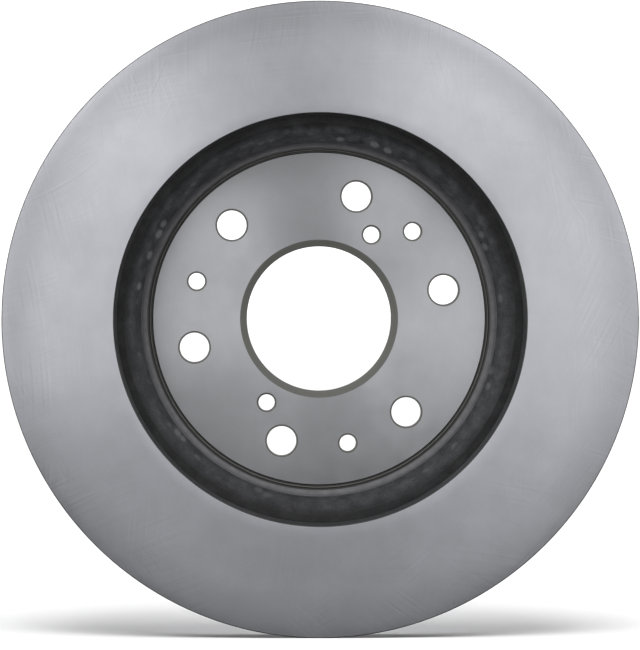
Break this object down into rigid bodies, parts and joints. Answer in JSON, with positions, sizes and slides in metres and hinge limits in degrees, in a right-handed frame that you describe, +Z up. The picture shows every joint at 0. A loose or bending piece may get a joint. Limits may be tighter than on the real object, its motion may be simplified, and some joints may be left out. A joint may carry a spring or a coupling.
{
  "type": "vented brake disc",
  "caption": "Vented iron brake disc: two ground friction rings joined by straight vanes, carried by a hat whose drilled flange is clamped between the hub and the wheel.",
  "frame": {"origin": "centre of the stud circle on the hub face, where the disc's axis meets the face that sits on the hub", "axes": "the disc stands on its edge as on the axle: Y is its axis, -Y inboard towards the hub, +Y outboard towards the wheel, +Z up"},
  "size_m": [0.325, 0.047, 0.325],
  "materials": {
    "ground_iron": "ground, with fine arcs left in no one direction",
    "turned_iron": "turned, with fine rings",
    "coated_iron": "as cast in sand, under a thin dark coating"
  },
  "bodies": {
    "root": {"mounting_flange": "turned_iron", "hat_wall": "coated_iron", "neck": "coated_iron", "outboard_friction_ring": "ground_iron", "inboard_friction_ring": "ground_iron", "vane_01": "coated_iron", "vane_02": "coated_iron", "vane_03": "coated_iron", "vane_04": "coated_iron", "vane_05": "coated_iron", "vane_06": "coated_iron", "vane_07": "coated_iron", "vane_08": "coated_iron", "vane_09": "coated_iron", "vane_10": "coated_iron", "vane_11": "coated_iron", "vane_12": "coated_iron", "vane_13": "coated_iron", "vane_14": "coated_iron", "vane_15": "coated_iron", "vane_16": "coated_iron", "vane_17": "coated_iron", "vane_18": "coated_iron", "vane_19": "coated_iron", "vane_20": "coated_iron", "vane_21": "coated_iron", "vane_22": "coated_iron", "vane_23": "coated_iron", "vane_24": "coated_iron", "vane_25": "coated_iron", "vane_26": "coated_iron", "vane_27": "coated_iron", "vane_28": "coated_iron", "vane_29": "coated_iron", "vane_30": "coated_iron", "vane_31": "coated_iron", "vane_32": "coated_iron", "vane_33": "coated_iron", "vane_34": "coated_iron", "vane_35": "coated_iron", "vane_36": "coated_iron", "vane_37": "coated_iron", "vane_38": "coated_iron", "vane_39": "coated_iron", "vane_40": "coated_iron"}
  },
  "joints": []
}
